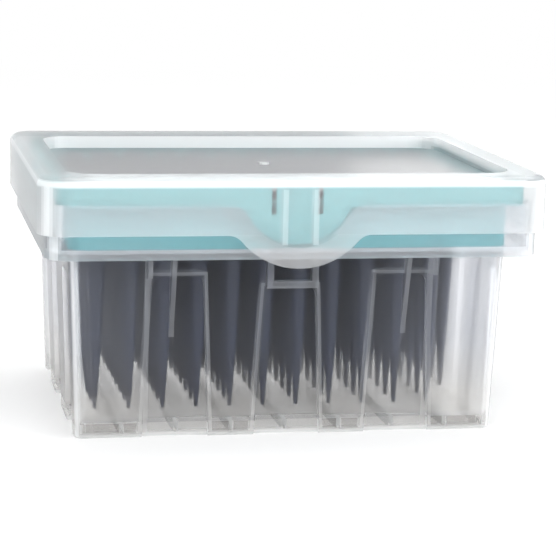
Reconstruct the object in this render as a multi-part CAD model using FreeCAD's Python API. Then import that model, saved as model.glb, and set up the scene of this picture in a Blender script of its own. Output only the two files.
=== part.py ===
import FreeCAD, Part
import math
import os

# Box of 96-well pipette tips: frosted base, teal rack, frosted hinged lid, black tips.
# Millimetres. +Z up, +X right, front towards -Y.
# Origin: bottom centre of the closed box, which is also the centre of the tip grid.

V = FreeCAD.Vector

# ---- tip grid ----
PITCH = 9.0
COLUMNS = 12
ROWS = 8
GRID_HALF_W = PITCH * (COLUMNS - 1) / 2
GRID_HALF_D = PITCH * (ROWS - 1) / 2
LAST_COLUMN_EMPTY_WELLS = 2      # nearest wells of the right-hand column hold no tip

# ---- heights, from the surface up ----
FLOOR_TOP_Z = 4.6
FLOOR_T = 1.2
TIP_POINT_GAP = 0.9
TIP_LENGTH = 59.5
TIP_COLLAR_LENGTH = 10.5
SKIRT_BELOW_PLATE = 4.5
LEDGE_T = 1.4
SHOULDER_HEIGHT = 4.8
SHOULDER_T = 1.2
RACK_STEP_HEIGHT = 8.1
RACK_STEP_T = 1.2
RACK_RIM_HEIGHT = 4.6
RACK_PLATE_T = 1.2
RIM_DROP = 0.2
LID_GAP = 0.2
PANEL_CLEARANCE = 0.4
PANEL_T = 1.0
PANEL_DROP = 3.4

TIP_POINT_Z = FLOOR_TOP_Z + TIP_POINT_GAP
TIP_TOP_Z = TIP_POINT_Z + TIP_LENGTH
RACK_PLATE_Z = TIP_TOP_Z - TIP_COLLAR_LENGTH      # upper face, which carries the collars
LEDGE_Z = RACK_PLATE_Z - SKIRT_BELOW_PLATE        # upper face, which carries the rack
FLANGE_BOTTOM_Z = LEDGE_Z - LEDGE_T
SHOULDER_Z = LEDGE_Z + SHOULDER_HEIGHT
RACK_STEP_Z = RACK_PLATE_Z + RACK_STEP_HEIGHT
RACK_RIM_TOP_Z = RACK_STEP_Z + RACK_RIM_HEIGHT
RIM_TOP_Z = RACK_STEP_Z - RIM_DROP
LID_BOTTOM_Z = SHOULDER_Z + LID_GAP
LID_TOP_Z = TIP_TOP_Z + PANEL_CLEARANCE + PANEL_T + PANEL_DROP

# ---- pipette tip ----
TIP_BARREL_LENGTH = 9.0
TIP_SHOULDER_LENGTH = 0.8
TIP_POINT_R = 0.5
TIP_KNEE_R = 1.65
TIP_KNEE_HEIGHT = 18.5
TIP_NECK_R = 2.45
TIP_BARREL_R = 3.0
TIP_COLLAR_R = 3.6
TIP_COLLAR_CHAMFER = 0.4
TIP_MOUTH_R = 2.75
TIP_WALL = 0.5
TIP_POINT_BORE_R = 0.22

# ---- rack ----
SKIRT_MARGIN_X = 8.3
SKIRT_MARGIN_Y = 13.1
SKIRT_R = 4.0
SKIRT_T = 1.1
RACK_STEP_SIDE = 3.0
RACK_STEP_FRONT = 4.6
RACK_STEP_REAR = 0.9
RACK_RIM_R = 3.2
WELL_CLEARANCE = 0.15
TONGUE_SLIT_X = 6.1
TONGUE_SLIT_W = 1.3
TONGUE_SLIT_DEPTH = 2.6
TONGUE_SLIT_HEIGHT = 7.6
SKIRT_HALF_W = GRID_HALF_W + SKIRT_MARGIN_X
SKIRT_HALF_D = GRID_HALF_D + SKIRT_MARGIN_Y
RACK_RIM_HALF_W = SKIRT_HALF_W + RACK_STEP_SIDE
RACK_RIM_FRONT_Y = -SKIRT_HALF_D - RACK_STEP_FRONT
RACK_RIM_REAR_Y = SKIRT_HALF_D + RACK_STEP_REAR

# ---- inner rim and flange of the base ----
WALL = 1.3
RIM_T = 1.1
RIM_R = 5.0
RACK_GAP_SIDE = 0.8
RACK_GAP_FRONT = 1.4
RACK_GAP_REAR = 0.4
RIM_HALF_W = RACK_RIM_HALF_W + RACK_GAP_SIDE + RIM_T
RIM_FRONT_Y = RACK_RIM_FRONT_Y - RACK_GAP_FRONT - RIM_T
RIM_REAR_Y = RACK_RIM_REAR_Y + RACK_GAP_REAR + RIM_T
SHOULDER_SIDE = 1.6
SHOULDER_FRONT = 0.7
SHOULDER_REAR = 0.4
FLANGE_R = 6.6
FLANGE_HALF_W = RIM_HALF_W + SHOULDER_SIDE
FLANGE_FRONT_Y = RIM_FRONT_Y - SHOULDER_FRONT
FLANGE_REAR_Y = RIM_REAR_Y + SHOULDER_REAR

# ---- drafted body of the base ----
SEAT_SIDE = 0.25                 # how far the ledge reaches in past the rack's skirt
SEAT_FRONT = 1.3
DRAFT_SIDE = 1.75
DRAFT_FRONT = 1.5
BODY_TOP_HALF_W = SKIRT_HALF_W - SKIRT_T - SEAT_SIDE + WALL
BODY_TOP_HALF_D = SKIRT_HALF_D - SKIRT_T - SEAT_FRONT + WALL
BODY_BOTTOM_HALF_W = BODY_TOP_HALF_W - DRAFT_SIDE
BODY_BOTTOM_HALF_D = BODY_TOP_HALF_D - DRAFT_FRONT
BODY_R = 3.0
BODY_FOOT_R = 0.8                # round along the outer edge it stands on
FLOOR_RIB_COUNT = 7
FLOOR_RIB_PITCH = 14.5
FLOOR_RIB_T = 1.2
FLOOR_RIB_FOOT = 0.4             # ribs stop this far above the surface the box stands on

# ---- arches: the rim's cut-out and the lid's tab ----
CUTOUT_HALF_W = 17.8
CUTOUT_LOW_R = 15.0
CUTOUT_ABOVE_LEDGE = 1.9
TAB_HALF_W = 18.6
TAB_LOW_R = 19.8
TAB_BELOW_LEDGE = 3.6
CUTOUT_BOTTOM_Z = LEDGE_Z + CUTOUT_ABOVE_LEDGE
TAB_BOTTOM_Z = LEDGE_Z - TAB_BELOW_LEDGE

# ---- bays in the walls of the body ----
BAY_DEPTH = 1.5
BAY_TOP_HALF_W = 6.6
BAY_BOTTOM_HALF_W = 8.8
BAY_CORNER_R = 2.6
BAY_BELOW_FLANGE = 5.8
CATCH_HEIGHT = 8.8               # the centre bay ends under the catch block
FRONT_BAY_PITCH = 29.6
SIDE_BAY_PITCH = 30.0
BAY_TOP_Z = FLANGE_BOTTOM_Z - BAY_BELOW_FLANGE
CATCH_BOTTOM_Z = FLANGE_BOTTOM_Z - CATCH_HEIGHT

# ---- catch block under the tab ----
CATCH_HALF_W = 6.75
CATCH_SIDE_T = 1.7
CATCH_BAR_H = 1.8
CATCH_REACH = 2.4                # how far it stands out in front of the body

# ---- webs and ribs ----
WEB_T = 1.2
WEB_X = 30.9
WEB_HEIGHT = 21.6
WEB_REACH = 3.0
WEB_EDGE_H = 1.0
SMALL_WEB_EDGE_H = 5.4
SMALL_WEB_X = 37.4
SMALL_WEB_HEIGHT = 6.6
SMALL_WEB_REACH = 4.5
LOCATOR_X = (36.2, 37.9)
LOCATOR_T = 0.7
LOCATOR_REACH = 1.2
LOCATOR_HEIGHT = 9.5

# ---- lid ----
LID_WALL = 1.3
LID_GAP_SIDE = 2.3
LID_GAP_FRONT = 1.0
LID_GAP_REAR = 0.7
LID_R = 7.0
LID_EDGE_R = 2.6
BORDER_SIDE = 8.0
BORDER_FRONT = 7.3
BORDER_REAR = 15.7
PANEL_R = 8.0
PANEL_WALL = 1.0
GATE_R = 1.6
GATE_H = 0.6
LID_RIB_X = 4.0
LID_RIB_T = 1.3
LID_RIB_REACH = 1.6
LID_RIB_GAP = 0.4                # from the curved bottom of the rim's cut-out
STOP_RIB_PITCH = 30.0
STOP_RIB_T = 1.2
STOP_GAP = 0.2
STOP_RIB_OVER_RIM = 0.9
LID_HALF_W = RIM_HALF_W + LID_GAP_SIDE + LID_WALL
LID_FRONT_Y = RIM_FRONT_Y - LID_GAP_FRONT - LID_WALL
LID_REAR_Y = RIM_REAR_Y + LID_GAP_REAR + LID_WALL
STOP_RIB_REACH = LID_GAP_SIDE + STOP_RIB_OVER_RIM

# ---- hinge ----
LUG_W = 7.0
LUG_R = 2.5
LUG_HEIGHT = 7.0
LUG_SHOULDER = 1.0
HINGE_X = 32.0
HINGE_DROP = 0.8
HINGE_Y = LID_REAR_Y + LUG_R
HINGE_Z = SHOULDER_Z - HINGE_DROP
EAR_R = 2.2
EAR_T = 3.0
EAR_GAP = 0.4
PIN_R = 1.1
PIN_CLEARANCE = 0.05
ARM_RISE = 0.5
ARM_DEPTH = 3.6

OVERLAP = 0.3                    # pieces of one moulding run this far into each other
CUT_PAST = 1.0                   # cuts run this far past the face they open
SNAP = 0.01                      # tolerance for picking edges by height
BIG = 200.0


def box(x0, x1, y0, y1, z0, z1):
    return Part.makeBox(x1 - x0, y1 - y0, z1 - z0, V(x0, y0, z0))


def rounded_wire(x0, x1, y0, y1, r, z):
    k = r * (1 - math.sqrt(0.5))
    corners = [
        (V(x1 - r, y0, z), V(x1 - k, y0 + k, z), V(x1, y0 + r, z)),
        (V(x1, y1 - r, z), V(x1 - k, y1 - k, z), V(x1 - r, y1, z)),
        (V(x0 + r, y1, z), V(x0 + k, y1 - k, z), V(x0, y1 - r, z)),
        (V(x0, y0 + r, z), V(x0 + k, y0 + k, z), V(x0 + r, y0, z)),
    ]
    edges = []
    for i, (a, m, b) in enumerate(corners):
        edges.append(Part.Arc(a, m, b).toShape())
        edges.append(Part.LineSegment(b, corners[(i + 1) % 4][0]).toShape())
    return Part.Wire(edges)


def rounded_prism(x0, x1, y0, y1, r, z0, z1):
    face = Part.Face(rounded_wire(x0, x1, y0, y1, r, z0))
    return face.extrude(V(0, 0, z1 - z0))


def body_half_sizes(z):
    t = z / FLANGE_BOTTOM_Z
    return BODY_BOTTOM_HALF_W + t * DRAFT_SIDE, BODY_BOTTOM_HALF_D + t * DRAFT_FRONT


def body_loft(inset, z0, z1):
    wires = []
    for z in (z0, z1):
        half_w, half_d = body_half_sizes(z)
        wires.append(rounded_wire(inset - half_w, half_w - inset, inset - half_d, half_d - inset,
                                  BODY_R - inset * 0.5, z))
    return Part.makeLoft(wires, True, True)


def flat_polygon(points, thickness_vector):
    wire = Part.makePolygon([V(*p) for p in points] + [V(*points[0])])
    return Part.Face(wire).extrude(thickness_vector)


def arch_prism(half_w, depth, low_r, level_z, close_z, y0, y1):
    # solid along Y between an arch that dips from level_z by depth and the level close_z:
    # a wide round bottom runs into a round corner at each end
    lean = 2 * math.atan(depth / half_w)
    corner_r = half_w / math.sin(lean) - low_r
    low_z = level_z - depth

    def low(angle):
        return V(low_r * math.sin(angle), y0, low_z + low_r * (1 - math.cos(angle)))

    def corner(side, angle):
        return V(side * (half_w - corner_r * math.sin(angle)), y0,
                 level_z - corner_r * (1 - math.cos(angle)))

    edges = [Part.Arc(corner(-1, 0), corner(-1, lean / 2), low(-lean)).toShape(),
             Part.Arc(low(-lean), low(0), low(lean)).toShape(),
             Part.Arc(low(lean), corner(1, lean / 2), corner(1, 0)).toShape()]
    path = [corner(1, 0), V(half_w, y0, close_z), V(-half_w, y0, close_z), corner(-1, 0)]
    for start, end in zip(path, path[1:]):
        edges.append(Part.LineSegment(start, end).toShape())
    return Part.Face(Part.Wire(edges)).extrude(V(0, y1 - y0, 0))


def bay_outline(centre, top_z, grow):
    # trapezoid with rounded upper corners, widening downward, as a prism along Y
    wt = BAY_TOP_HALF_W + grow
    wb = BAY_BOTTOM_HALF_W + grow
    top = top_z + grow
    face = Part.Face(Part.makePolygon([
        V(centre - wb, 0, -CUT_PAST), V(centre + wb, 0, -CUT_PAST), V(centre + wt, 0, top),
        V(centre - wt, 0, top), V(centre - wb, 0, -CUT_PAST)]))
    prism = face.extrude(V(0, BIG, 0))
    upper = [e for e in prism.Edges
             if abs(e.BoundBox.ZMax - top) < SNAP and abs(e.BoundBox.ZMin - top) < SNAP
             and e.BoundBox.YLength > BIG / 2]
    return prism.makeFillet(BAY_CORNER_R, upper)


def bays(grow):
    # every bay as a prism that runs through its own wall only
    front = [(-FRONT_BAY_PITCH, BAY_TOP_Z), (0.0, CATCH_BOTTOM_Z), (FRONT_BAY_PITCH, BAY_TOP_Z)]
    shapes = []
    for centre, top_z in front:
        shape = bay_outline(centre, top_z, grow)
        shape.translate(V(0, -BIG, 0))
        shapes.append(shape)
    for side in (-90, 90):
        for centre in (-SIDE_BAY_PITCH, 0.0, SIDE_BAY_PITCH):
            shape = bay_outline(centre, BAY_TOP_Z, grow)
            shape.rotate(V(0, 0, 0), V(0, 0, 1), side)
            shapes.append(shape)
    return shapes


def web(x, reach, height, edge_h):
    # web under the flange, standing out of the body's front wall, its foot cut slanting below edge_h
    thickness = WEB_T
    bottom_z = FLANGE_BOTTOM_Z - height
    _, half_d = body_half_sizes(bottom_z)
    root = -half_d + BAY_DEPTH + OVERLAP
    tip_y = -BODY_TOP_HALF_D - reach
    top = FLANGE_BOTTOM_Z + OVERLAP
    points = [(x - thickness / 2, root, bottom_z), (x - thickness / 2, root, top),
              (x - thickness / 2, tip_y, top), (x - thickness / 2, tip_y, FLANGE_BOTTOM_Z - edge_h)]
    return flat_polygon(points, V(thickness, 0, 0))


def make_base():
    outer = body_loft(0, 0, FLANGE_BOTTOM_Z + OVERLAP)
    outer = outer.makeFillet(BODY_FOOT_R, [e for e in outer.Edges if e.BoundBox.ZMax < SNAP])
    pocket_shell = body_loft(BAY_DEPTH, -CUT_PAST, FLANGE_BOTTOM_Z + CUT_PAST)
    for bay in bays(0):
        outer = outer.cut(bay.cut(pocket_shell))

    flange = rounded_prism(-FLANGE_HALF_W, FLANGE_HALF_W, FLANGE_FRONT_Y, FLANGE_REAR_Y, FLANGE_R,
                           FLANGE_BOTTOM_Z, SHOULDER_Z)
    rim = rounded_prism(-RIM_HALF_W, RIM_HALF_W, RIM_FRONT_Y, RIM_REAR_Y, RIM_R,
                        SHOULDER_Z - OVERLAP, RIM_TOP_Z)
    solid = outer.fuse([flange, rim])

    # catch block, webs
    _, half_d = body_half_sizes(FLANGE_BOTTOM_Z)
    catch_front = -half_d - CATCH_REACH
    solid = solid.fuse([
        box(-CATCH_HALF_W, CATCH_HALF_W, catch_front, -half_d + WALL,
            CATCH_BOTTOM_Z, FLANGE_BOTTOM_Z + OVERLAP),
        web(-WEB_X, WEB_REACH, WEB_HEIGHT, WEB_EDGE_H),
        web(WEB_X, WEB_REACH, WEB_HEIGHT, WEB_EDGE_H),
        web(-SMALL_WEB_X, SMALL_WEB_REACH, SMALL_WEB_HEIGHT, SMALL_WEB_EDGE_H),
        web(SMALL_WEB_X, SMALL_WEB_REACH, SMALL_WEB_HEIGHT, SMALL_WEB_EDGE_H),
    ])
    solid = solid.cut(box(-CATCH_HALF_W + CATCH_SIDE_T, CATCH_HALF_W - CATCH_SIDE_T,
                          catch_front - CUT_PAST, -half_d, CATCH_BOTTOM_Z + CATCH_BAR_H, FLANGE_BOTTOM_Z))

    # inside of the body, kept one wall away from the bays
    cavity = body_loft(WALL, FLOOR_TOP_Z, LEDGE_Z)
    under = body_loft(WALL, -CUT_PAST, FLOOR_TOP_Z - FLOOR_T)
    backing_shell = body_loft(BAY_DEPTH + WALL, -CUT_PAST, LEDGE_Z + CUT_PAST)
    for bay in bays(WALL):
        backing = bay.cut(backing_shell)
        cavity = cavity.cut(backing)
        under = under.cut(backing)
    for i in range(FLOOR_RIB_COUNT):
        x = (i - (FLOOR_RIB_COUNT - 1) / 2) * FLOOR_RIB_PITCH
        under = under.cut(box(x - FLOOR_RIB_T / 2, x + FLOOR_RIB_T / 2, -BIG, BIG, FLOOR_RIB_FOOT, BIG))

    # channel inside the flange, and the space inside the rim
    flange_inner = rounded_prism(-FLANGE_HALF_W + WALL, FLANGE_HALF_W - WALL,
                                 FLANGE_FRONT_Y + WALL, FLANGE_REAR_Y - WALL, FLANGE_R - WALL,
                                 LEDGE_Z, SHOULDER_Z - SHOULDER_T)
    rim_inner = rounded_prism(-RIM_HALF_W + RIM_T, RIM_HALF_W - RIM_T,
                              RIM_FRONT_Y + RIM_T, RIM_REAR_Y - RIM_T, RIM_R - RIM_T,
                              LEDGE_Z, RIM_TOP_Z + CUT_PAST)
    solid = solid.cut([cavity, under, flange_inner, rim_inner])

    # arched cut-out at the front centre, through the rim and the flange's front wall
    solid = solid.cut(arch_prism(CUTOUT_HALF_W, RIM_TOP_Z - CUTOUT_BOTTOM_Z, CUTOUT_LOW_R,
                                 RIM_TOP_Z, RIM_TOP_Z + CUT_PAST,
                                 FLANGE_FRONT_Y - CUT_PAST, RIM_FRONT_Y + RIM_T + CUT_PAST))

    # pairs of locating ribs inside the front of the rim
    locators = []
    for side in (-1, 1):
        for x in LOCATOR_X:
            locators.append(box(side * x - LOCATOR_T / 2, side * x + LOCATOR_T / 2,
                                RIM_FRONT_Y + OVERLAP, RIM_FRONT_Y + RIM_T + LOCATOR_REACH,
                                LEDGE_Z - OVERLAP, LEDGE_Z + LOCATOR_HEIGHT))
    solid = solid.fuse(locators)

    # hinge ears
    for centre in (-HINGE_X, HINGE_X):
        for side in (-1, 1):
            x0 = centre + side * (LUG_W / 2 + EAR_GAP + EAR_T / 2) - EAR_T / 2
            ear = Part.makeCylinder(EAR_R, EAR_T, V(x0, HINGE_Y, HINGE_Z), V(1, 0, 0))
            arm = flat_polygon([(x0, FLANGE_REAR_Y - OVERLAP, HINGE_Z + ARM_RISE),
                                (x0, HINGE_Y, HINGE_Z + ARM_RISE),
                                (x0, HINGE_Y, HINGE_Z - EAR_R),
                                (x0, FLANGE_REAR_Y - OVERLAP, HINGE_Z - ARM_DEPTH)], V(EAR_T, 0, 0))
            hole = Part.makeCylinder(PIN_R + PIN_CLEARANCE, EAR_T + 2 * CUT_PAST,
                                     V(x0 - CUT_PAST, HINGE_Y, HINGE_Z), V(1, 0, 0))
            solid = solid.fuse([ear, arm]).cut(hole)
    return solid.removeSplitter()


def make_rack():
    skirt = rounded_prism(-SKIRT_HALF_W, SKIRT_HALF_W, -SKIRT_HALF_D, SKIRT_HALF_D, SKIRT_R,
                          LEDGE_Z, RACK_STEP_Z)
    step = rounded_prism(-RACK_RIM_HALF_W, RACK_RIM_HALF_W, RACK_RIM_FRONT_Y, RACK_RIM_REAR_Y,
                         RACK_RIM_R, RACK_STEP_Z - RACK_STEP_T, RACK_RIM_TOP_Z)
    # flap behind the cut-out in the base's rim
    flap = arch_prism(CUTOUT_HALF_W, RIM_TOP_Z - CUTOUT_BOTTOM_Z, CUTOUT_LOW_R, RIM_TOP_Z, RACK_STEP_Z,
                      RACK_RIM_FRONT_Y, RACK_RIM_FRONT_Y + SKIRT_T)
    solid = skirt.fuse([step, flap])
    above_plate = rounded_prism(-SKIRT_HALF_W + SKIRT_T, SKIRT_HALF_W - SKIRT_T,
                                -SKIRT_HALF_D + SKIRT_T, SKIRT_HALF_D - SKIRT_T, SKIRT_R - SKIRT_T,
                                RACK_PLATE_Z, RACK_RIM_TOP_Z + CUT_PAST)
    below_plate = rounded_prism(-SKIRT_HALF_W + SKIRT_T, SKIRT_HALF_W - SKIRT_T,
                                -SKIRT_HALF_D + SKIRT_T, SKIRT_HALF_D - SKIRT_T, SKIRT_R - SKIRT_T,
                                LEDGE_Z - CUT_PAST, RACK_PLATE_Z - RACK_PLATE_T)
    inside_rim = rounded_prism(-RACK_RIM_HALF_W + SKIRT_T, RACK_RIM_HALF_W - SKIRT_T,
                               RACK_RIM_FRONT_Y + SKIRT_T, RACK_RIM_REAR_Y - SKIRT_T,
                               RACK_RIM_R - SKIRT_T, RACK_STEP_Z, RACK_RIM_TOP_Z + CUT_PAST)
    wells = []
    for i in range(COLUMNS):
        for j in range(ROWS):
            foot = V(-GRID_HALF_W + i * PITCH, -GRID_HALF_D + j * PITCH,
                     RACK_PLATE_Z - RACK_PLATE_T - CUT_PAST)
            wells.append(Part.makeCylinder(TIP_BARREL_R + WELL_CLEARANCE,
                                           RACK_PLATE_T + 2 * CUT_PAST, foot))
    slits = []
    for side in (-1, 1):
        x = side * TONGUE_SLIT_X
        slits.append(box(x - TONGUE_SLIT_W / 2, x + TONGUE_SLIT_W / 2,
                         RACK_RIM_FRONT_Y - CUT_PAST, RACK_RIM_FRONT_Y + TONGUE_SLIT_DEPTH,
                         RACK_RIM_TOP_Z - TONGUE_SLIT_HEIGHT, RACK_RIM_TOP_Z + CUT_PAST))
    solid = solid.cut([above_plate, below_plate, inside_rim] + wells + slits)
    return solid.removeSplitter()


def round_top(prism, top_z, r):
    return prism.makeFillet(r, [e for e in prism.Edges if e.BoundBox.ZMin > top_z - SNAP])


def make_lid():
    shell = rounded_prism(-LID_HALF_W, LID_HALF_W, LID_FRONT_Y, LID_REAR_Y, LID_R,
                          LID_BOTTOM_Z, LID_TOP_Z)
    shell = round_top(shell, LID_TOP_Z, LID_EDGE_R)
    hollow = rounded_prism(-LID_HALF_W + LID_WALL, LID_HALF_W - LID_WALL,
                           LID_FRONT_Y + LID_WALL, LID_REAR_Y - LID_WALL, LID_R - LID_WALL,
                           LID_BOTTOM_Z - CUT_PAST, LID_TOP_Z - LID_WALL)
    hollow = round_top(hollow, LID_TOP_Z - LID_WALL, LID_EDGE_R - LID_WALL)
    solid = shell.cut(hollow)
    panel_z = LID_TOP_Z - PANEL_DROP
    panel_half_w = LID_HALF_W - BORDER_SIDE
    panel_front = LID_FRONT_Y + BORDER_FRONT
    panel_rear = LID_REAR_Y - BORDER_REAR
    tub = rounded_prism(-panel_half_w - PANEL_WALL, panel_half_w + PANEL_WALL,
                        panel_front - PANEL_WALL, panel_rear + PANEL_WALL, PANEL_R + PANEL_WALL,
                        panel_z - PANEL_T, LID_TOP_Z - LID_WALL + OVERLAP)
    opening = rounded_prism(-panel_half_w, panel_half_w, panel_front, panel_rear, PANEL_R,
                            panel_z, LID_TOP_Z + CUT_PAST)
    solid = solid.fuse(tub).cut(opening)

    lid_centre_y = (LID_FRONT_Y + LID_REAR_Y) / 2
    gate = Part.makeCylinder(GATE_R, GATE_H + OVERLAP, V(0, lid_centre_y, panel_z - OVERLAP))
    tab = arch_prism(TAB_HALF_W, LID_BOTTOM_Z - TAB_BOTTOM_Z, TAB_LOW_R,
                     LID_BOTTOM_Z, LID_BOTTOM_Z + OVERLAP, LID_FRONT_Y, LID_FRONT_Y + LID_WALL)
    pieces = [gate, tab]
    rib_edge = LID_RIB_X + LID_RIB_T / 2
    cutout_rise = CUTOUT_LOW_R - math.sqrt(CUTOUT_LOW_R ** 2 - rib_edge ** 2)
    rib_foot = CUTOUT_BOTTOM_Z + cutout_rise + LID_RIB_GAP
    for side in (-1, 1):
        x = side * LID_RIB_X
        pieces.append(box(x - LID_RIB_T / 2, x + LID_RIB_T / 2, LID_FRONT_Y + LID_WALL - OVERLAP,
                          LID_FRONT_Y + LID_WALL + LID_RIB_REACH, rib_foot,
                          LID_TOP_Z - LID_WALL + OVERLAP))
        inner = LID_HALF_W - LID_WALL
        for y in (-STOP_RIB_PITCH, 0, STOP_RIB_PITCH):
            x0, x1 = sorted((side * (inner - STOP_RIB_REACH), side * (inner + OVERLAP)))
            pieces.append(box(x0, x1, y - STOP_RIB_T / 2, y + STOP_RIB_T / 2, RIM_TOP_Z + STOP_GAP,
                              LID_TOP_Z - LID_WALL + OVERLAP))
        centre = side * HINGE_X
        x0 = centre - LUG_W / 2
        pieces.append(Part.makeCylinder(LUG_R, LUG_W, V(x0, HINGE_Y, HINGE_Z), V(1, 0, 0)))
        rear = LID_REAR_Y - OVERLAP
        pieces.append(flat_polygon([(x0, rear, LID_BOTTOM_Z), (x0, HINGE_Y, HINGE_Z),
                                    (x0, HINGE_Y + LUG_R, HINGE_Z),
                                    (x0, HINGE_Y + LUG_R, LID_BOTTOM_Z + LUG_SHOULDER),
                                    (x0, LID_REAR_Y, LID_BOTTOM_Z + LUG_HEIGHT),
                                    (x0, rear, LID_BOTTOM_Z + LUG_HEIGHT)], V(LUG_W, 0, 0)))
        pin_half = LUG_W / 2 + EAR_GAP + EAR_T
        pieces.append(Part.makeCylinder(PIN_R, 2 * pin_half, V(centre - pin_half, HINGE_Y, HINGE_Z),
                                        V(1, 0, 0)))
    return solid.fuse(pieces).removeSplitter()


def make_tip():
    neck_z = TIP_LENGTH - TIP_COLLAR_LENGTH - TIP_BARREL_LENGTH - TIP_SHOULDER_LENGTH
    barrel_z = neck_z + TIP_SHOULDER_LENGTH
    collar_z = barrel_z + TIP_BARREL_LENGTH
    profile = [
        (TIP_POINT_BORE_R, 0), (TIP_POINT_R, 0), (TIP_KNEE_R, TIP_KNEE_HEIGHT), (TIP_NECK_R, neck_z),
        (TIP_BARREL_R, barrel_z), (TIP_BARREL_R, collar_z), (TIP_COLLAR_R, collar_z),
        (TIP_COLLAR_R, TIP_LENGTH - TIP_COLLAR_CHAMFER),
        (TIP_COLLAR_R - TIP_COLLAR_CHAMFER, TIP_LENGTH), (TIP_MOUTH_R, TIP_LENGTH),
        (TIP_BARREL_R - TIP_WALL, collar_z), (TIP_NECK_R - TIP_WALL, neck_z),
        (TIP_KNEE_R - TIP_WALL, TIP_KNEE_HEIGHT),
    ]
    points = [V(r, 0, z) for r, z in profile]
    face = Part.Face(Part.makePolygon(points + [points[0]]))
    return face.revolve(V(0, 0, 0), V(0, 0, 1), 360)


def make_tip_column(tip, i):
    first = LAST_COLUMN_EMPTY_WELLS if i == COLUMNS - 1 else 0
    tips = []
    for j in range(first, ROWS):
        one = tip.copy()
        one.translate(V(-GRID_HALF_W + i * PITCH, -GRID_HALF_D + j * PITCH, TIP_POINT_Z))
        tips.append(one)
    return Part.makeCompound(tips)


os.makedirs("parts", exist_ok=True)
shapes = {"base": make_base(), "rack": make_rack(), "lid": make_lid()}
tip = make_tip()
for i in range(COLUMNS):
    shapes["tips_column_%02d" % (i + 1)] = make_tip_column(tip, i)
for name, shape in shapes.items():
    shape.exportStep("parts/%s.step" % name)
    bb = shape.BoundBox
    print(name, len(shape.Solids), shape.isValid(), round(shape.Volume, 1),
          [round(v, 2) for v in (bb.XMin, bb.XMax, bb.YMin, bb.YMax, bb.ZMin, bb.ZMax)])
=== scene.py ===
import bpy
import math
from mathutils import Matrix, Vector


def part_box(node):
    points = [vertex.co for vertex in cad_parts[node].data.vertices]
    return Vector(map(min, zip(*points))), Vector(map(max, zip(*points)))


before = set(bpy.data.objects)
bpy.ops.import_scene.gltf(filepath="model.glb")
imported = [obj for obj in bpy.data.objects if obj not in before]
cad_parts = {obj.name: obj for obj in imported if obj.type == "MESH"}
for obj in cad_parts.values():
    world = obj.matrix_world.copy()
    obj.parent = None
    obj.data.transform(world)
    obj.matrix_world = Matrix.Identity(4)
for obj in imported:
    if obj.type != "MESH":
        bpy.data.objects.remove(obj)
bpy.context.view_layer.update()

# Look of a box of pipette tips: frosted polypropylene base and lid, teal rack, black tips.
# Lengths are metres in the frame's own axes, unless a comment says otherwise.

# ---- camera at the photograph's viewing angle
IMAGE_W = 556                               # pixels
SENSOR_W = 36.0                             # mm
CAMERA_FOCAL = 2131.21                      # pixels of the image
CAMERA_PLACE = Vector((-0.111715, -0.575250, 0.142419))
CAMERA_YAW = 0.200751                       # radians
CAMERA_PITCH = 0.183732
CAMERA_ROLL = 0.024712

# ---- lights (name, place, what it points at, width, watts), world and floor
LIGHTS = (
    ("key", (-0.9, -1.1, 1.3), (0, 0, 0.03), 0.9, 18.3),
    ("fill", (0.75, -0.6, 0.45), (0, 0, 0.03), 0.6, 8),
    ("top", (0.1, 0.5, 1.6), (0, 0, 0.03), 1.0, 11),
    ("back", (0.7, 1.75, 0.32), (0.03, 0, 0.05), 0.5, 1.2),
)
WORLD_LEVEL = 0.55                          # light from the world; it is seen as white
FLOOR_HALF_W = 6.0
FLOOR_GREY = (0.92, 0.92, 0.92)
WHITE_NEAR_BOX = 0.35                       # the floor's share of background white near the box
WHITE_FROM = 0.25                           # the share grows from this distance to the next
WHITE_FULL = 1.1

# ---- places on the lid
LID_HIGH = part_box("lid")[1]
RACK_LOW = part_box("rack")[0]
BOX_TOP = LID_HIGH[2]
LEDGE_Z = RACK_LOW[2]                       # the rack stands on the base's ledge
SHOULDER_Z = LEDGE_Z + 0.0047               # upper face of the base's flange
FLANGE_Z = LEDGE_Z - 0.0014                 # underside of the base's flange
LID_EDGE_Z = SHOULDER_Z + 0.0006            # the lid's wall hangs to here, its tab lower
BORDER_Z = BOX_TOP - 0.0015                 # underside of the lid's flat border
BORDER_X = LID_HIGH[0] - 0.0075             # the border at the right lies outside this
# the dark outline of painted shade lies on the thick outer edge at the right and the rear
EDGE_X = LID_HIGH[0] - 0.0016               # thick outer edge at the right
LID_REAR_Y = LID_HIGH[1] - 0.0050           # the hinge lugs reach past the lid's rear wall
EDGE_Y = LID_REAR_Y - 0.0030                # thick outer edge at the rear
LID_RIM_Z = BOX_TOP - 0.0031                # the lid's wall is thick above this
EDGE_BLEND = 0.0008                         # width over which the rim and the edge set in
RECESS_Z = BOX_TOP - 0.0035                 # floor of the lid's recess
RECESS_HALF_W = LID_HIGH[0] - 0.0065
RECESS_REAR_Y = LID_REAR_Y - 0.0157
RECESS_FRONT_Y = RACK_LOW[1] + 0.0008
PANEL_T = 0.0015                            # thickness of the panel in the recess
LID_RIB_X = 0.0040                          # the two ribs behind the tab
LID_RIB_REACH = 0.000715                    # a little over half a rib's thickness
LID_RIB_FOOT_Z = 0.0525
LID_RIB_Y = -0.0500
CUTOUT_CENTRE_Z = 0.0669                    # round bottom of the cut-out behind the tab
CUTOUT_R = 0.0150

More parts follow.
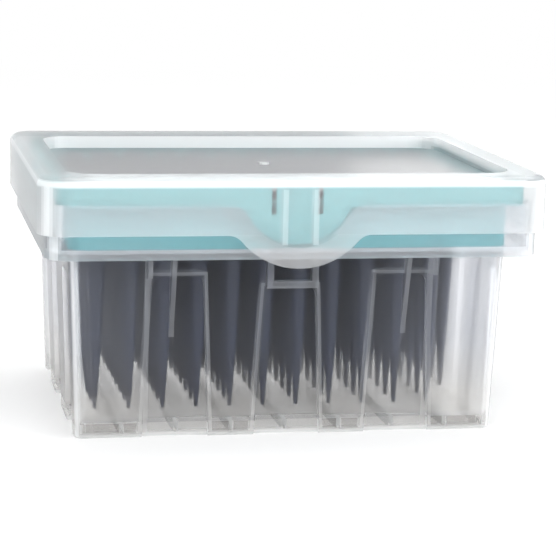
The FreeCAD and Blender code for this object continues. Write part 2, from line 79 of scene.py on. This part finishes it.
# ---- places on the base
FLOOR_Z = 0.0046                            # upper face of the base's floor
FLOOR_UNDER_Z = 0.0030
LOW_START_Z = 0.010                         # the wall is warmer below these heights
LOW_END_Z = 0.024
EDGE_START_Z = 0.0008                       # the edge that the box stands on
EDGE_END_Z = 0.0014
STEP_Z = 0.030                              # the level steps of the walls lie above this
SKIRT_H = 0.0024                            # cloudy lower part of the flange's skirt
FRONT_WALL_Y = -0.036                       # the front wall's inner face lies in front of this
WEB_Y = -0.0438                             # the catch block stands out past this
WEB_ROOT_Y = -0.0405
WEB_X = 0.0309                              # long webs under the flange
WEB_REACH = 0.00072                         # a little over half a web's thickness
WEB_FOOT_Z = 0.0265
SMALL_WEB_X = 0.0374                        # short webs beside them
RIB_REACH_X = 0.052                         # ribs inside the base lie within this
FLOOR_RIB_REACH_X = 0.047                   # ribs under the floor lie within this,
FLOOR_RIB_NEAR_Y = -0.030                   # and are less cloudy from here back to the next
FLOOR_RIB_FAR_Y = 0.015
BAY_PITCH = 0.0296                          # the three bays of the front wall
SIDE_BAY_PITCH = 0.0300                     # the three bays of each side wall
BAYS_REACH = 1.55                           # the bays end this many pitches from the middle
BAY_EDGE_T = 0.00104                        # thick edge round each bay
SIDE_WALL_X = 0.0505
RIGHT_START_X = 0.015                       # the right end is cloudier from here
END_START_X = 0.026                         # and both ends from here
END_X = 0.044                               # in full from here on
BAY_TOP_Z = 0.0428
CENTRE_BAY_TOP_Z = 0.0398
BAY_FOOT_HALF_W = 0.0088
BAY_LEAN = 0.0503                           # narrowing of half a bay per metre of height

# ---- places on the rack
FLAP_TOP_Z = 0.0640                         # the flap behind the base's cut-out
FLAP_FOOT_Z = 0.0535
FLAP_BACK_Y = RACK_LOW[1] + 0.0016

# ---- how faces are told apart
# the share of a face's direction that lies along an axis, from 0 to 1
FACING = 0.6                                # looks along it
FACING_FULL = 0.9                           # looks straight along it
HALF_WAY = 0.5
NOT_LEVEL = (0.56, 0.66)                    # upward share: a wall below the first, level above the second
ROUNDED = (0.79, 0.95)                      # largest share: rounded below the first, flat above the second
END_OF_RECESS = (0.4, 0.8)                  # sideways share: a left or right wall above the second
# lengths
NEAR = 0.0002                               # as good as at a level
BLEND = 0.001                               # width of a soft change of tone

# ---- frosted polypropylene
CLEAR_TRANSMISSION = 0.945
MILKY_TRANSMISSION = 0.30
MILKY_ALPHA = 0.88
FROSTED_ROUGHNESS = (0.29, 0.34)
FROSTED_IOR = 1.07                          # low, so that the tips read through the wall
MILK_AND_HIGHLIGHT_COLOUR = (0.94, 0.965, 0.975)
# greys of painted shade on the lid's border at the right and the rear, and on its outline; the panel in the
# recess takes a little of the border's grey
BORDER_GREY = (0.47, 0.495, 0.51)
OUTLINE_SHADE_GREY = (0.22, 0.225, 0.235)
CLOUD_TINT = 0.97                           # the tint varies down to this share of itself

# how cloudy each part is, from 0 clear to 1 milky
# rounded edges: cloudier plastic, with a painted highlight
ROUNDED_MILK_AND_HIGHLIGHT = 0.85
FLOOR_RIB_MILK = 0.85
BOTTOM_EDGE_MILK = 0.6
BASE_RIB_MILK = 0.3
STEP_MILK = 0.6
FLOOR_MILK = 0.16
END_MILK = 0.06                             # both ends of the base,
RIGHT_MILK = 0.10                           # and the right end more
FRONT_MILK = 0.27                           # bays, catch and webs of the front
SIDE_BAY_MILK = 0.4
LID_RIM_MILK = 0.85
LID_RIB_MILK = 0.45
TAB_MILK = 0.30
RECESS_SIDE_MILK = 0.45                     # the recess's walls at its left and right
GRAZING_SOLID = 0.9                         # a wall seen nearly edge on
# the border's painted shade; the panel in the recess a little greyer
BORDER_SOLID = 0.55
PANEL_GREY = 0.22
# strength of the dark outline of painted shade at the right and the rear
RIGHT_OUTLINE = 0.7
REAR_OUTLINE = 0.8

BASE_LOOK = {
    "tint": (0.77, 0.795, 0.86),            # light through a thin wall
    "low_tint": (0.87, 0.855, 0.84),        # near the floor
    # painted shade under the floor, where the table under the box lies in shadow
    "underfloor_shade_tint": (0.38, 0.36, 0.34),        # under the floor
    # greyer where a wall is seen nearly edge on: a longer way through plastic, and painted shade on side
    # walls in shadow
    "grazing_tint": (0.33, 0.335, 0.35),    # a wall seen nearly edge on
    "grazing_from": 0.45,
    "clear_alpha": 0.28,
    # height that each band starts at, and how cloudy it is
    "levels": ((0.0, 0.0), (FLANGE_Z - NEAR, 0.4), (FLANGE_Z + SKIRT_H, 0.0), (SHOULDER_Z, 0.3)),
}
LID_LOOK = {
    "tint": (0.88, 0.88, 0.89),
    "low_tint": (0.88, 0.88, 0.89),
    "underfloor_shade_tint": (0.88, 0.88, 0.89),
    "grazing_tint": (0.45, 0.46, 0.48),
    "grazing_from": 0.74,
    "clear_alpha": 0.45,
    "levels": ((0.0, 0.20), (BORDER_Z, 0.05)),
}

# ---- teal rack and black tips: the two tones that each varies between, and its roughness
TEAL_TONES = ((0.165, 0.415, 0.44), (0.19, 0.465, 0.485))
TEAL_ROUGHNESS = (0.32, 0.46)
# painted shade: the flap is deeper towards its foot
FLAP_SHADE_TEAL = (0.105, 0.36, 0.385)            # the flap is deeper towards its foot
FLAP_SHADE_DEPTH = 0.9
BLACK_TONES = ((0.011, 0.0155, 0.034), (0.019, 0.025, 0.048))
BLACK_ROUGHNESS = (0.26, 0.40)


# ---- shader nodes

def add_node(tree, kind, **settings):
    added = tree.nodes.new(kind)
    for name, setting in settings.items():
        setattr(added, name, setting)
    return added


def feed(socket, value):
    # value comes from a node, or is a plain colour or number
    if isinstance(value, Value):
        value.tree.links.new(value.output, socket)
    elif isinstance(value, tuple):
        socket.default_value = (*value, 1)
    else:
        socket.default_value = value


def math_value(tree, operation, *terms):
    added = add_node(tree, "ShaderNodeMath", operation=operation)
    for socket, term in zip(added.inputs, terms):
        feed(socket, term)
    return Value(tree, added.outputs[0])


class Value:
    # a number or colour that nodes work out at each point; arithmetic on it adds Math nodes

    def __init__(self, tree, output):
        self.tree = tree
        self.output = output

    def __add__(self, other):
        return math_value(self.tree, "ADD", self, other)

    def __sub__(self, other):
        return math_value(self.tree, "SUBTRACT", self, other)

    def __rsub__(self, other):
        return math_value(self.tree, "SUBTRACT", other, self)

    def __mul__(self, other):
        return math_value(self.tree, "MULTIPLY", self, other)

    def __truediv__(self, other):
        return math_value(self.tree, "DIVIDE", self, other)

    def __gt__(self, other):
        return math_value(self.tree, "GREATER_THAN", self, other)

    def __lt__(self, other):
        return math_value(self.tree, "LESS_THAN", self, other)

    def __abs__(self):
        return math_value(self.tree, "ABSOLUTE", self)

    def fade(self, start, end, before=0.0, after=1.0):
        # "before" up to start, "after" from end on, and a straight ramp between them
        added = add_node(self.tree, "ShaderNodeMapRange")
        feed(added.inputs["Value"], self)
        feed(added.inputs["From Min"], start)
        feed(added.inputs["From Max"], end)
        feed(added.inputs["To Min"], before)
        feed(added.inputs["To Max"], after)
        return Value(self.tree, added.outputs["Result"])

    def spread(self, low, high):
        # 0 becomes low and 1 becomes high
        return self.fade(0.0, 1.0, low, high)

    def choose(self, a, b):
        # colour a where this is 0, colour b where it is 1
        added = add_node(self.tree, "ShaderNodeMix", data_type="RGBA")
        feed(added.inputs[0], self)
        feed(added.inputs[6], a)
        feed(added.inputs[7], b)
        return Value(self.tree, added.outputs[2])


def all_of(first, *others):
    for mask in others:
        first = first * mask
    return first


def any_of(first, *others):
    for mask in others:
        first = math_value(first.tree, "MAXIMUM", first, mask)
    return first


def split(tree, vector):
    added = add_node(tree, "ShaderNodeSeparateXYZ")
    tree.links.new(vector, added.inputs[0])
    return [Value(tree, output) for output in added.outputs]


def object_coordinates(tree):
    return add_node(tree, "ShaderNodeTexCoord").outputs["Object"]


def face_direction(tree):
    # how far a face looks along each of the piece's own axes, so the lid looks the same when open
    own_axes = add_node(tree, "ShaderNodeVectorTransform", vector_type="NORMAL", convert_from="WORLD",
                        convert_to="OBJECT")
    normal = add_node(tree, "ShaderNodeNewGeometry").outputs["True Normal"]
    tree.links.new(normal, own_axes.inputs[0])
    return [abs(share) for share in split(tree, own_axes.outputs[0])]


def noise(tree, per_metre, detail=3.0):
    added = add_node(tree, "ShaderNodeTexNoise")
    tree.links.new(object_coordinates(tree), added.inputs["Vector"])
    feed(added.inputs["Scale"], per_metre)
    feed(added.inputs["Detail"], detail)
    feed(added.inputs["Roughness"], 0.55)
    return Value(tree, added.outputs["Fac"])


def bump(height, strength, distance):
    added = add_node(height.tree, "ShaderNodeBump")
    feed(added.inputs["Height"], height)
    feed(added.inputs["Strength"], strength)
    feed(added.inputs["Distance"], distance)
    return Value(height.tree, added.outputs["Normal"])


def bands(z, levels):
    # how cloudy the wall is at each height
    ramp = add_node(z.tree, "ShaderNodeValToRGB")
    ramp.color_ramp.interpolation = "CONSTANT"
    feed(ramp.inputs[0], z / BOX_TOP)
    while len(ramp.color_ramp.elements) < len(levels):
        ramp.color_ramp.elements.new(0.5)
    for stop, (start, cloudiness) in zip(ramp.color_ramp.elements, levels):
        stop.position = start / BOX_TOP
        stop.color = (cloudiness, cloudiness, cloudiness, 1)
    return Value(z.tree, ramp.outputs[0])


def seen_or_reflected(tree):
    # 1 for rays from the camera, off gloss and through clear plastic
    path = add_node(tree, "ShaderNodeLightPath")
    return any_of(*(Value(tree, path.outputs[ray])
                    for ray in ("Is Camera Ray", "Is Glossy Ray", "Is Transmission Ray")))


def new_material(name):
    material = bpy.data.materials.new(name)
    material.use_nodes = True
    tree = material.node_tree
    return material, tree, tree.nodes["Principled BSDF"]


def set_inputs(shader, values):
    for name, value in values.items():
        feed(shader.inputs[name], value)


# ---- frosted polypropylene

def not_level(turn):
    return turn[2].fade(*NOT_LEVEL, 1.0, 0.0)


def rounded_edge_milk_and_highlight(turn):
    # faces that look along no axis, and not upwards: cloudy plastic on the rounded edges, with a painted
    # highlight
    return all_of(any_of(*turn).fade(*ROUNDED, ROUNDED_MILK_AND_HIGHLIGHT, 0.0), not_level(turn))


def frosted(name, milky_and_highlight_faces, grey_faces=None, *, tint, low_tint, underfloor_shade_tint, grazing_tint, grazing_from,
            clear_alpha, levels):
    # moulded wall: clear where thin, cloudy in thick bands, ribs and steps; milky white on rounded edges is
    # cloudy plastic and a painted highlight
    material, tree, bsdf = new_material(name)
    place = split(tree, object_coordinates(tree))
    turn = face_direction(tree)
    z = place[2]
    milk_and_highlight = any_of(bands(z, levels), *milky_and_highlight_faces(place, turn))
    clear_colour = noise(tree, per_metre=55.0).choose(tint, tuple(CLOUD_TINT * channel for channel in tint))
    low = z.fade(LOW_START_Z, LOW_END_Z, 1.0, 0.0)
    # painted shade below the base's floor
    foot = z.fade(FLOOR_Z - BLEND, FLOOR_Z + BLEND, 1.0, 0.0)
    colour = milk_and_highlight.choose(foot.choose(low.choose(clear_colour, low_tint), underfloor_shade_tint), MILK_AND_HIGHLIGHT_COLOUR)

    # a wall seen nearly edge on is a longer way through plastic, and greyer; the grey is also painted
    # shade, standing in for side walls in shadow
    weight = add_node(tree, "ShaderNodeLayerWeight")
    feed(weight.inputs["Blend"], 0.5)
    above_floor = z.fade(FLOOR_Z, FLOOR_Z + BLEND / 2)
    grazing = all_of(above_floor, Value(tree, weight.outputs["Facing"]).fade(grazing_from, 1.0))
    colour = grazing.choose(colour, grazing_tint)
    solid = any_of(milk_and_highlight, grazing * GRAZING_SOLID)
    # painted shade: the lid's border greyer at the right and the rear, with a dark outline on its edge; the
    # panel in the recess a little greyer
    if grey_faces:
        grey, outline = grey_faces(place, turn)
        colour = outline.choose(grey.choose(colour, BORDER_GREY), OUTLINE_SHADE_GREY)
        solid = any_of(solid, grey * BORDER_SOLID, outline)

    set_inputs(bsdf, {
        "Base Color": colour,
        "Transmission Weight": milk_and_highlight.spread(CLEAR_TRANSMISSION, MILKY_TRANSMISSION),
        "Roughness": noise(tree, per_metre=300.0).spread(*FROSTED_ROUGHNESS),
        "IOR": FROSTED_IOR,
        "Coat Weight": 0.3,
        "Coat Roughness": 0.16,
        "Coat IOR": 1.5,
        "Alpha": solid.spread(clear_alpha, MILKY_ALPHA),
        "Normal": bump(noise(tree, per_metre=900.0, detail=1.0), strength=0.03, distance=0.0001),
    })
    return material


def bay_edges(along, z, pitch, centre_top):
    # the thick edge round each of three bays, on a wall that runs along one axis
    from_centre = math_value(along.tree, "MINIMUM", along, abs(along - pitch))
    top = (along < pitch / 2).spread(BAY_TOP_Z, centre_top)
    half_w = BAY_FOOT_HALF_W - z * BAY_LEAN
    past = any_of(from_centre - half_w, z - top)
    return all_of(past > NEAR, past < BAY_EDGE_T, along < BAYS_REACH * pitch)


def base_milk_and_highlight_faces(place, turn):
    x, y, z = abs(place[0]), place[1], place[2]
    below_flange = z < FLANGE_Z - NEAR
    sideways, level = turn[0] > FACING, turn[2] > FACING
    small_web = all_of(abs(x - SMALL_WEB_X) < WEB_REACH, y < WEB_ROOT_Y, below_flange)
    web = all_of(abs(x - WEB_X) < WEB_REACH, y < WEB_ROOT_Y, z > WEB_FOOT_Z, below_flange)
    catch = all_of(y < WEB_Y, below_flange)
    rounded = all_of(rounded_edge_milk_and_highlight(turn), 1.0 - small_web)
    ribs = all_of(sideways, x < RIB_REACH_X, z > FLOOR_Z)
    floor_ribs = all_of(sideways, x < FLOOR_RIB_REACH_X, z < FLOOR_Z - BLEND,
                        y.fade(FLOOR_RIB_NEAR_Y, FLOOR_RIB_FAR_Y, FLOOR_RIB_MILK, 0.0))
    bottom_edge = all_of(z.fade(EDGE_START_Z, EDGE_END_Z, BOTTOM_EDGE_MILK, 0.0), turn[2] < FACING_FULL)
    steps = all_of(level, z > STEP_Z, below_flange)
    floor = all_of(level, z < FLOOR_Z + BLEND / 2, z > FLOOR_UNDER_Z)
    front_bays = all_of(bay_edges(x, z, BAY_PITCH, CENTRE_BAY_TOP_Z), y < FRONT_WALL_Y, below_flange)
    side_bays = all_of(bay_edges(abs(y), z, SIDE_BAY_PITCH, BAY_TOP_Z), x > SIDE_WALL_X, below_flange)
    return (rounded, floor_ribs, bottom_edge, ribs * BASE_RIB_MILK, steps * STEP_MILK,
            floor * FLOOR_MILK, x.fade(END_START_X, END_X, 0.0, END_MILK),
            place[0].fade(RIGHT_START_X, END_X, 0.0, RIGHT_MILK),
            any_of(front_bays, catch, web, small_web) * FRONT_MILK, side_bays * SIDE_BAY_MILK)


def lid_milk_and_highlight_faces(place, turn):
    x, y, z = abs(place[0]), place[1], place[2]
    recess = all_of(turn[2] < HALF_WAY, z > RECESS_Z, x < RECESS_HALF_W, y > RECESS_FRONT_Y,
                    turn[0].fade(*END_OF_RECESS, 1.0, RECESS_SIDE_MILK))
    # the top of the walls, where the border joins them
    rim = all_of(z.fade(LID_RIM_Z, LID_RIM_Z + EDGE_BLEND, 0.0, LID_RIM_MILK), not_level(turn))
    ribs = all_of(abs(x - LID_RIB_X) < LID_RIB_REACH, z > LID_RIB_FOOT_Z, y < LID_RIB_Y, z < LID_RIM_Z)
    # the tab is cloudier where it lies over the edge of the cut-out
    rise = z - CUTOUT_CENTRE_Z
    from_centre = math_value(z.tree, "SQRT", x * x + rise * rise)
    tab = all_of(from_centre.fade(CUTOUT_R - NEAR, CUTOUT_R + NEAR), z < LID_EDGE_Z)
    return rounded_edge_milk_and_highlight(turn), recess, rim, ribs * LID_RIB_MILK, tab * TAB_MILK


def lid_grey_faces(place, turn):
    # painted shade on the border at the right and the rear, and a dark outline on the thick edge round the
    # border; the panel in the recess a little greyer
    x, y, z = place
    right = x.fade(BORDER_X, BORDER_X + BLEND)
    rear = y.fade(RECESS_REAR_Y, RECESS_REAR_Y + BLEND)
    border = all_of(z > BORDER_Z, turn[2] > HALF_WAY, any_of(right, rear))
    panel = all_of(turn[2] > FACING_FULL, z < RECESS_Z + NEAR, z > RECESS_Z - PANEL_T)
    edge = any_of(x.fade(EDGE_X, EDGE_X + EDGE_BLEND, 0.0, RIGHT_OUTLINE),
                  y.fade(EDGE_Y, EDGE_Y + BLEND, 0.0, REAR_OUTLINE))
    return any_of(border, panel * PANEL_GREY), all_of(edge, z > BORDER_Z)


# ---- rack and tips

def teal():
    material, tree, bsdf = new_material("teal_pp")
    y, z = split(tree, object_coordinates(tree))[1:]
    # painted shade, deeper towards the flap's foot
    flap = all_of(z.fade(FLAP_FOOT_Z, FLAP_TOP_Z, FLAP_SHADE_DEPTH, 0.0), y < FLAP_BACK_Y)
    set_inputs(bsdf, {
        "Base Color": flap.choose(noise(tree, per_metre=70.0).choose(*TEAL_TONES), FLAP_SHADE_TEAL),
        "Roughness": noise(tree, per_metre=260.0).spread(*TEAL_ROUGHNESS),
        "Normal": bump(noise(tree, per_metre=1500.0, detail=2.0), strength=0.1, distance=0.0002),
    })
    return material


def black():
    material, tree, bsdf = new_material("black_pp")
    set_inputs(bsdf, {
        "Base Color": noise(tree, per_metre=240.0).choose(*BLACK_TONES),
        "Roughness": noise(tree, per_metre=500.0).spread(*BLACK_ROUGHNESS),
        "Specular IOR Level": 0.35,
        "Normal": bump(noise(tree, per_metre=2500.0, detail=2.0), strength=0.08, distance=0.0001),
    })
    return material


def dress(mesh, material):
    for i in range(len(mesh.materials)):
        mesh.materials[i] = material
    if not mesh.materials:
        mesh.materials.append(material)


# ---- stage

def make_camera():
    data = bpy.data.cameras.new("camera")
    data.sensor_fit = "HORIZONTAL"
    data.sensor_width = SENSOR_W
    data.lens = CAMERA_FOCAL * SENSOR_W / IMAGE_W
    data.clip_start = 0.01
    data.clip_end = 20
    camera = bpy.data.objects.new("camera", data)
    bpy.context.scene.collection.objects.link(camera)
    ahead = Vector((math.sin(CAMERA_YAW) * math.cos(CAMERA_PITCH),
                    math.cos(CAMERA_YAW) * math.cos(CAMERA_PITCH), -math.sin(CAMERA_PITCH)))
    right = Vector((math.cos(CAMERA_YAW), -math.sin(CAMERA_YAW), 0))
    up = right.cross(ahead)
    rolled_right = math.cos(CAMERA_ROLL) * right + math.sin(CAMERA_ROLL) * up
    rolled_up = -math.sin(CAMERA_ROLL) * right + math.cos(CAMERA_ROLL) * up
    turn = Matrix((rolled_right, rolled_up, -ahead)).transposed().to_4x4()
    camera.matrix_world = Matrix.Translation(CAMERA_PLACE) @ turn
    bpy.context.scene.camera = camera


def make_light(name, place, target, width, watts):
    data = bpy.data.lights.new(name, "AREA")
    data.shape = "SQUARE"
    data.size = width
    data.energy = watts
    lamp = bpy.data.objects.new(name, data)
    lamp.location = place
    lamp.rotation_euler = (Vector(target) - Vector(place)).to_track_quat("-Z", "Y").to_euler()
    bpy.context.scene.collection.objects.link(lamp)


def make_floor():
    mesh = bpy.data.meshes.new("floor")
    half = FLOOR_HALF_W
    mesh.from_pydata([(-half, -half, 0), (half, -half, 0), (half, half, 0), (-half, half, 0)], [],
                     [(0, 1, 2, 3)])
    floor = bpy.data.objects.new("floor", mesh)
    bpy.context.scene.collection.objects.link(floor)
    material, tree, bsdf = new_material("pale_floor")
    set_inputs(bsdf, {"Base Color": FLOOR_GREY, "Roughness": 0.8, "Specular IOR Level": 0.1})
    # it turns to the white of the background away from the box
    distance = add_node(tree, "ShaderNodeVectorMath", operation="LENGTH")
    tree.links.new(object_coordinates(tree), distance.inputs[0])
    share = Value(tree, distance.outputs["Value"]).fade(WHITE_FROM, WHITE_FULL, WHITE_NEAR_BOX, 1.0)
    white = add_node(tree, "ShaderNodeEmission")
    feed(white.inputs["Strength"], 1.0)
    mix = add_node(tree, "ShaderNodeMixShader")
    feed(mix.inputs[0], all_of(seen_or_reflected(tree), share))
    tree.links.new(bsdf.outputs["BSDF"], mix.inputs[1])
    tree.links.new(white.outputs["Emission"], mix.inputs[2])
    tree.links.new(mix.outputs["Shader"], tree.nodes["Material Output"].inputs["Surface"])
    mesh.materials.append(material)


def make_world():
    world = bpy.data.worlds.new("studio")
    bpy.context.scene.world = world
    world.use_nodes = True
    tree = world.node_tree
    set_inputs(tree.nodes["Background"], {
        "Color": (1, 1, 1),
        "Strength": seen_or_reflected(tree).spread(WORLD_LEVEL, 1.0),
    })


materials = {
    "base": frosted("frosted_pp_base", base_milk_and_highlight_faces, **BASE_LOOK),
    "lid": frosted("frosted_pp_lid", lid_milk_and_highlight_faces, lid_grey_faces, **LID_LOOK),
    "rack": teal(),
}
tips_material = black()
for name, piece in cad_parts.items():
    dress(piece.data, materials.get(name, tips_material))

make_camera()
make_floor()
make_world()
for light in LIGHTS:
    make_light(*light)

bpy.context.scene.view_settings.view_transform = "Standard"
